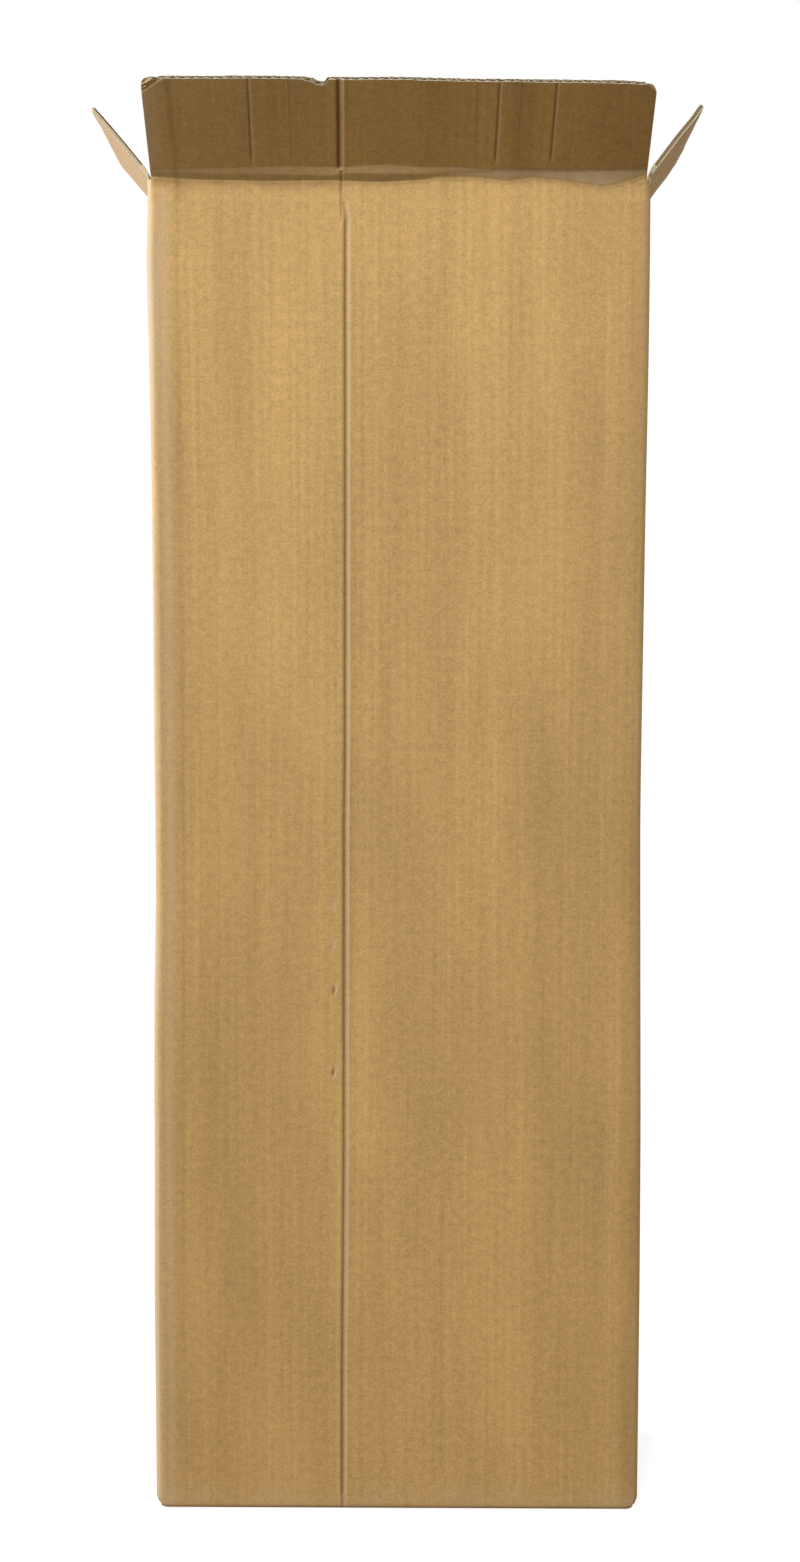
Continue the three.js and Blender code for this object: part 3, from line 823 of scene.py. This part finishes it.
def flap_tip(side, x, layer=0):
    """How long the board is at x. The layers tear apart a little at the notch."""
    kind = KIND[side]
    half = FLAP_HALF[kind]
    radius_left, radius_right = (6.0, 5.0) if side == "front" else (1.5, 1.5)
    length = FLAP_LENGTH[kind] + 0.22 * lumps(x, 3.0 * layer, 3.1, 21) + 0.25 * lumps(x, 0.0, 40.0, 22)
    if not layer:
        length = length - OUTER_LAYER_BACK
    for sign, radius in ((-1, radius_left), (1, radius_right)):
        into = np.clip(sign * x - (half - radius), 0.0, radius)
        length = length - (radius - np.sqrt(np.maximum(radius ** 2 - into ** 2, 0.0)))
    if side == "front":
        length = length - follow(x, NOTCH_INSIDE if layer else NOTCH)
        length = length + follow(x, TIP_DRIFT)
    return length


def rotate_part(points, pivot, axis, angle):
    """Turns points by an angle of their own about a line."""
    axis = axis / np.linalg.norm(axis)
    rest = points - pivot
    angle = np.radians(angle)[..., None]
    along = (rest @ axis)[..., None] * axis
    across = np.cross(np.broadcast_to(axis, rest.shape), rest)
    return pivot + rest * np.cos(angle) + across * np.sin(angle) + along * (1 - np.cos(angle))


def board_place(side, x, v, q):
    """Where the point at x, v of a flap's board lies, q of the way from its outer to its inner face."""
    x, v, q = np.broadcast_arrays(x, v, q)
    kind = KIND[side]
    half = FLAT[kind]
    turn = np.degrees(np.arcsin(np.clip((np.abs(x) - half) / CORNER, 0.0, 1.0))) * np.sign(x)
    out, up, lean = SECTIONS[side].at(x, v)
    flat = 1.0 - between(v, -SCORE, 1.0)
    thickness = BOARD - (BOARD - CRUSHED) * (1.0 - np.clip(np.abs(v) / SCORE, 0.0, 1.0))
    height = FOLD_Z[kind] + v
    relief = np.where(v < 0, panel_relief(side, x, height) * (np.abs(turn) < 1), 0.0)
    relief = relief + np.where(v < -6, 0.0, flap_relief(side, x, v))
    wide = x
    if kind == "end":
        slot_edge = half + CORNER * sin(radians(SLOT_FROM))
        wide = x * (1.0 - (1.0 - FLAP_HALF[kind] / slot_edge) * between(v, -SCORE, 0.0))
    if side == "front":
        from_edge, from_tip = x + FLAP_HALF[kind], FLAP_LENGTH[kind] - v
        from_corner = from_edge * 0.62 + from_tip
        crushed = between(from_corner, 10.5, 7.5)
        thickness = thickness * (1.0 - 0.35 * crushed)
        ridge = np.sin((from_edge * 0.55 + from_tip) * 2 * pi / 3.4)
        relief = relief + crushed * (0.55 * ridge + 0.5 * lumps(x, v, 2.6, 31)) + hump(from_corner, 10.0, 1.2)
    depth = relief + q * (thickness - relief)
    phi, tilt = np.radians(turn) * flat, np.radians(lean)
    drop = CORNER * (1.0 - np.cos(np.radians(turn))) * flat
    normal = np.stack([np.sin(phi), np.cos(phi) * np.cos(tilt), -np.cos(phi) * np.sin(tilt)], -1)
    local = np.stack([wide, out - drop, up], -1) - normal * depth[..., None]
    if side == "front":
        left_bend = 16.0 * between(from_corner, 10.0, 6.0)
        right_bend = 24.0 * between((x - FLAP_HALF[kind]) * 0.8 + (v - 64.0), 0.4, 2.0)
        for corner, (run, rise), bend in (((-196.0, 74.0), (13.0, 8.0), left_bend),
                                          ((199.0, 73.5), (10.0, -8.0), right_bend)):
            out_tip, up_tip, _ = SECTIONS[side].at(*corner)
            fold = np.array([run, rise * sin(radians(45.0)), rise * cos(radians(45.0))])
            local = rotate_part(local, np.array([corner[0], out_tip, up_tip]), fold, bend)
    return to_carton(side, local[..., 0], local[..., 1], local[..., 2])


def flute_tree(paper):
    """Builds the waved paper inside the board: one wave after another across a width."""
    tree = bpy.data.node_groups.new("fluting", "GeometryNodeTree")
    tree.is_modifier = True
    sockets = {}
    for name, kind, value in (("Width", "Float", 0.4), ("Length", "Float", 0.07), ("Pitch", "Float", 0.0078),
                              ("Swing", "Float", 0.0015), ("Paper", "Float", 0.00035), ("Columns", "Int", 400),
                              ("Rows", "Int", 12)):
        socket = tree.interface.new_socket(name, in_out="INPUT", socket_type="NodeSocket" + kind)
        socket.default_value = value
        sockets[name] = socket.identifier
    tree.interface.new_socket("Geometry", in_out="OUTPUT", socket_type="NodeSocketGeometry")
    given = tree.nodes.new("NodeGroupInput")
    result = tree.nodes.new("NodeGroupOutput")

    def add(kind, links, **settings):
        node = tree.nodes.new(kind)
        for name, value in settings.items():
            setattr(node, name, value)
        for name, value in links.items():
            if hasattr(value, "is_output"):
                tree.links.new(value, node.inputs[name])
            else:
                node.inputs[name].default_value = value
        return node

    grid = add("GeometryNodeMeshGrid", {"Size X": given.outputs["Width"], "Size Y": given.outputs["Length"],
                                        "Vertices X": given.outputs["Columns"],
                                        "Vertices Y": given.outputs["Rows"]})
    where = add("ShaderNodeSeparateXYZ", {0: add("GeometryNodeInputPosition", {}).outputs[0]})
    waves = add("ShaderNodeMath", {0: where.outputs["X"], 1: given.outputs["Pitch"]}, operation="DIVIDE")
    turns = add("ShaderNodeMath", {0: waves.outputs[0], 1: 2 * pi}, operation="MULTIPLY")
    crest = add("ShaderNodeMath", {0: turns.outputs[0]}, operation="SINE")
    rise = add("ShaderNodeMath", {0: crest.outputs[0], 1: given.outputs["Swing"]}, operation="MULTIPLY")
    lift = add("ShaderNodeCombineXYZ", {"Z": rise.outputs[0]})
    waved = add("GeometryNodeSetPosition", {"Geometry": grid.outputs["Mesh"], "Offset": lift.outputs[0]})
    thick = add("GeometryNodeExtrudeMesh", {"Mesh": waved.outputs[0], "Offset Scale": given.outputs["Paper"],
                                            "Individual": False})
    under = add("GeometryNodeFlipFaces", {"Mesh": waved.outputs[0]})
    both = add("GeometryNodeJoinGeometry", {})
    tree.links.new(under.outputs[0], both.inputs[0])
    tree.links.new(thick.outputs["Mesh"], both.inputs[0])
    closed = add("GeometryNodeMergeByDistance", {"Geometry": both.outputs[0], "Distance": 0.000001})
    real = add("GeometryNodeRealizeInstances", {"Geometry": closed.outputs[0]})
    finished = add("GeometryNodeSetMaterial", {"Geometry": real.outputs[0], "Material": paper})
    tree.links.new(finished.outputs[0], result.inputs[0])
    return tree, sockets


fluting, fluting_inputs = flute_tree(medium)
FLUTE_START = 9.5
STEPS_PER_FLUTE = 8
FLUTE_ROWS = 13


def waved_paper(side):
    """One flap's fluting, bent to the flap: points, faces, kinds and board places, like a sheet."""
    half = FLAP_HALF[KIND[side]] - 0.1
    holder = bpy.data.objects.new("fluting_" + side, bpy.data.meshes.new("flat"))
    bpy.context.scene.collection.objects.link(holder)
    modifier = holder.modifiers.new("fluting", "NODES")
    modifier.node_group = fluting
    sizes = {"Width": 2 * half * MM, "Length": 1.0, "Pitch": FLUTE_PITCH * MM,
             "Swing": (BOARD / 2 - LINER * 1.5 + 0.04) * MM, "Paper": LINER * MM,
             "Columns": int(2 * half / FLUTE_PITCH * STEPS_PER_FLUTE) + 1, "Rows": FLUTE_ROWS}
    for name, value in sizes.items():
        modifier[fluting_inputs[name]] = value
    depsgraph = bpy.context.evaluated_depsgraph_get()
    mesh = bpy.data.meshes.new_from_object(holder.evaluated_get(depsgraph))
    points = np.empty(len(mesh.vertices) * 3)
    mesh.vertices.foreach_get("co", points)
    points = points.reshape(-1, 3)
    faces = np.empty(len(mesh.loops), dtype=np.int32)
    mesh.loops.foreach_get("vertex_index", faces)
    faces = faces.reshape(-1, 4)
    bpy.data.objects.remove(holder)
    x = points[:, 0] / MM
    share = np.clip(points[:, 1] + 0.5, 0.0, 1.0) ** 0.7
    v = FLUTE_START + share * (flap_tip(side, x, 1) - 0.15 - FLUTE_START)
    q = 0.5 - (points[:, 2] / MM - LINER / 2) / BOARD
    placed = board_place(side, x, v, q)
    return placed, faces, np.zeros(len(faces), dtype=int), np.column_stack([MIDDLE[side] + x, HEIGHT + v, q])


flap_rows = [-26.0, -22.0, -18.0, -15.0] + list(np.arange(-13.5, 7.0, 0.75))
flap_rows += [8.5, 11.0, 15.0, 21.0, 28.0, 36.0, 44.0, 51.0, TIP_FROM]
flap_rows += list(np.arange(61.0, 74.0, 1.0)) + [74.4, 75.0]


def layer_patch(side, near, far, rows, layer):
    """A layer of a flap's board between two depths."""
    kind = KIND[side]
    low = JOIN_Z - FOLD_Z[kind]
    flats = FLATS[side] + (JOINT_END[1:] if side == "back" else [])
    if side == "back":
        flats = [x for x in flats if not JOINT_FROM < x < JOINT_TO]
    x, turn, place = columns(side, flats, slot_steps, slot_steps)
    v = np.array([low] + [r for r in rows if r > low + 1.0])[:, None]
    half = FLAP_HALF[kind]
    tip_x = np.clip(x, -half, half) if kind == "main" else x * half / 72.0
    tip = flap_tip(side, tip_x, layer)[None, :]
    v = v + 0 * tip
    top = v.max()
    if top > TIP_FROM:
        v = np.where(v > TIP_FROM, TIP_FROM + (v - TIP_FROM) * (tip - TIP_FROM) / (top - TIP_FROM), v)
    outer, inner = board_place(side, x[None, :], v, near), board_place(side, x[None, :], v, far)
    board = np.stack(np.broadcast_arrays(place[None, :], HEIGHT + v), -1)
    return outer, inner, board


# Painted highlight on the outer faces of the end flaps, strongest on the left
OUTER_PAINTED_LIGHT = {"left": 0.7, "right": 0.3, "back": 0.0}


def flap_wear_and_painted_light(side):
    """Paler rubbed places and painted highlights, and darker painted shade with some soiling, on one flap, v
    along the board from its fold.
    """
    def wear_and_painted_light(points, place):
        x, v = place[:, 0] - MIDDLE[side], place[:, 1] - HEIGHT
        rough = 0.75 + 0.35 * lumps(x, v, 6.0, 41)
        tip = 0.35 * between(v, 72.0, 76.0)
        outer = place[:, 2] < 0.2
        if side != "front":
            # Rubbed fold and tip, a painted highlight on the end flaps' outer faces, and every outer face a
            # little darker
            return rough * (0.5 * hump(v, 0.0, 6.0) + tip) + outer * OUTER_PAINTED_LIGHT[side], 0.12 * rough * outer
        start, middle, end = follow(x, FOLD_START), follow(x, FOLD_MIDDLE), follow(x, FOLD_END)
        pressed = between(v, start, start + 1.2) * (1.0 - between(v, end - 1.0, end + 2.0))
        crease_x = FLAP_CREASE - 1.0 + 1.6 * np.clip(v / 75.0, 0.0, 1.0)
        rubbed_and_highlit = rough * (0.35 + 0.3 * between(x, 30.0, 70.0)) * pressed + tip
        # A painted highlight on the lit right wall of the flap's crease
        rubbed_and_highlit = rubbed_and_highlit + 0.6 * hump(x, crease_x + 2.9, 2.4) * between(v, 2, 8)
        # A painted highlight at the flap's left end and down the left corner strip
        rubbed_and_highlit = rubbed_and_highlit + 0.4 * (1.0 - between(x, -206.0, -190.0)) * between(v, 0, 8)
        rubbed_and_highlit = rubbed_and_highlit + 0.4 * hump(x, -198.0, 9.0) * (v < -14)
        # Darker below the fold, partly soiling and partly painted shade
        shaded_and_soiled = 0.30 * hump(v, start - 5.0, 7.5) * (1.0 - between(x, -64.0, -20.0))
        shaded_and_soiled = shaded_and_soiled * (0.75 + 0.5 * lumps(x, v, 8.0, 43))
        # Painted shade in a thin line below the pressed band and on the band's right part, which leans away from
        # the light
        shaded_and_soiled = shaded_and_soiled + 0.22 * hump(v, start - 2.5, 3.0) + 0.22 * pressed * between(x, 40.0, 120.0)
        # Painted shade in the fold's three creases
        shaded_and_soiled = shaded_and_soiled + 0.45 * hump(v, start, 1.1) + 0.4 * hump(v, middle, 0.9) + 0.38 * hump(v, end, 0.9)
        above, lines = between(v, -1, 4), between(v, 4, 12)
        # Painted shade on the crease's left wall, above and below the fold
        shaded_and_soiled = shaded_and_soiled + 0.85 * hump(x, crease_x - 1.1, 2.3) * above
        shaded_and_soiled = shaded_and_soiled + 0.45 * hump(x, FLAP_CREASE, 1.6) * (1.0 - above)
        # Each score line gets a painted highlight on its right and painted shade on its left
        for centre, depth in FLAP_LINES:
            rubbed_and_highlit = rubbed_and_highlit + 0.9 * abs(depth) * hump(x, centre + 1.6, 1.8) * lines
            shaded_and_soiled = shaded_and_soiled + 0.95 * abs(depth) * hump(x, centre - 0.4 + 0.02 * (v - 35.0), 1.6) * lines
        # Painted shade along the score line near the left corner, and a little over the flap beyond its fold
        shaded_and_soiled = shaded_and_soiled + 0.3 * hump(x, -186.0, 6.0) + 0.08 * between(v, 0, 6)
        return rubbed_and_highlit * (place[:, 2] < 0.5), shaded_and_soiled * outer
    return wear_and_painted_light


def make_flap(side, node, reach, bent):
    q_liner = LINER / BOARD
    core_rows = [r for r in flap_rows if r <= 11.0]
    outer_liner = sheet([layer_patch(side, 0.0, q_liner, flap_rows, 0)])
    inner_liner = sheet([layer_patch(side, 1.0 - q_liner, 1.0, flap_rows, 1)])
    core = sheet([layer_patch(side, q_liner * 0.9, 1.0 - q_liner * 0.9, core_rows, 1)])
    parts = [(outer_liner, (0, 3, 2)), (inner_liner, (3, 1, 2)), (core, (3, 3, 3)),
             (waved_paper(side), (3, 3, 3))]
    finishes = [outside, inside, paper_edge, medium]
    piece = make_piece(side + "_flap_board", parts, finishes, flap_wear_and_painted_light(side))
    kind = KIND[side]
    pivot = FOLD_Z[kind]
    lean = radians(44.0 if kind == "main" else 38.3)
    start = to_carton(side, 0.0, 0.0, pivot - reach) * MM
    end = to_carton(side, 0.0, bent * sin(lean), pivot + bent * cos(lean)) * MM
    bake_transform(piece)
    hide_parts(node)
    return piece


make_flap("front", "front_top_flap", 9.0, 20.0)
make_flap("back", "back_top_flap", 5.0, 8.0)
make_flap("left", "left_top_flap", 4.0, 6.0)
make_flap("right", "right_top_flap", 5.0, 10.0)

# Camera, where the photograph was taken from
camera = bpy.data.cameras.new("camera")
camera.sensor_width = 36.0
camera.lens = 35.65
camera.clip_end = 50.0
camera_object = bpy.data.objects.new("camera", camera)
bpy.context.scene.collection.objects.link(camera_object)
yaw, pitch, roll = radians(-0.25), radians(-2.868), radians(0.13)
forward = Vector((sin(yaw) * cos(pitch), cos(yaw) * cos(pitch), sin(pitch)))
right_hand = Vector((cos(yaw), -sin(yaw), 0.0))
upward = right_hand.cross(forward)
turned_right = cos(roll) * right_hand + sin(roll) * upward
turned_up = -sin(roll) * right_hand + cos(roll) * upward
camera_turn = Matrix((turned_right, turned_up, -forward)).transposed().to_4x4()
camera_object.matrix_world = Matrix.Translation((0.008, -1.4134, 0.7142)) @ camera_turn
bpy.context.scene.camera = camera_object


# Lights
def area_light(name, place, aim, size, power):
    lamp = bpy.data.lights.new(name, "AREA")
    lamp.shape = "RECTANGLE"
    lamp.size, lamp.size_y = size
    lamp.energy = power
    lamp_object = bpy.data.objects.new(name, lamp)
    lamp_object.location = place
    lamp_object.rotation_euler = (Vector(aim) - Vector(place)).to_track_quat("-Z", "Y").to_euler()
    bpy.context.scene.collection.objects.link(lamp_object)


area_light("key", (-1.1, -3.45, 4.65), (0.0, 0.0, 0.7), (1.2, 1.0), 300.0)
area_light("left", (-2.4, 0.1, 1.5), (0.0, 0.0, 1.0), (1.0, 1.4), 72.0)
area_light("right", (2.4, 0.3, 1.1), (0.0, 0.0, 1.0), (1.0, 1.2), 9.0)


def seen_white(nodes, lit, shown):
    """Mixes two shaders by what kind of ray looks: lit for light on its way, shown for the eye."""
    seen = nodes.node("ShaderNodeLightPath", output="Is Camera Ray")
    for name in ("Is Glossy Ray", "Is Transmission Ray"):
        seen = seen.sum_of("MAXIMUM", seen, nodes.node("ShaderNodeLightPath", output=name))
    return nodes.node("ShaderNodeMixShader", {}, {0: seen, 1: lit, 2: shown})


world = bpy.data.worlds.new("studio")
bpy.context.scene.world = world
world.use_nodes = True
sky = Nodes(world.node_tree)
soft = sky.node("ShaderNodeBackground", {}, {"Color": (1.0, 0.92, 0.78, 1.0), "Strength": 0.26})
white = sky.node("ShaderNodeBackground", {}, {"Color": (1.0, 1.0, 1.0, 1.0)})
sky.set(sky.tree.nodes["World Output"].inputs["Surface"], seen_white(sky, soft, white))

# A pale floor that keeps the carton's shadow
floor_mesh = bpy.data.meshes.new("floor")
floor_rim = [(1.3 * cos(a), 1.3 * sin(a), -0.0004) for a in np.radians(np.arange(0, 360, 7.5))]
floor_mesh.from_pydata(floor_rim, [], [tuple(range(len(floor_rim)))])
floor = bpy.data.objects.new("floor", floor_mesh)
bpy.context.scene.collection.objects.link(floor)
pale = Finish("pale_floor")
pale.tree.nodes.remove(pale.shader)
bounce = pale.node("ShaderNodeBsdfDiffuse", {}, {"Color": (0.215, 0.155, 0.075, 1.0)})
plain = pale.node("ShaderNodeBsdfDiffuse", {}, {"Color": (0.32, 0.32, 0.32, 1.0)})
glow = pale.node("ShaderNodeEmission", {}, {"Color": (1.0, 1.0, 1.0, 1.0), "Strength": 0.86})
lit_up = pale.node("ShaderNodeAddShader", {}, {0: plain, 1: glow})
pale.set(pale.tree.nodes["Material Output"].inputs["Surface"], seen_white(pale, bounce, lit_up))
floor_mesh.materials.append(pale.material)

bpy.context.scene.view_settings.view_transform = "Standard"
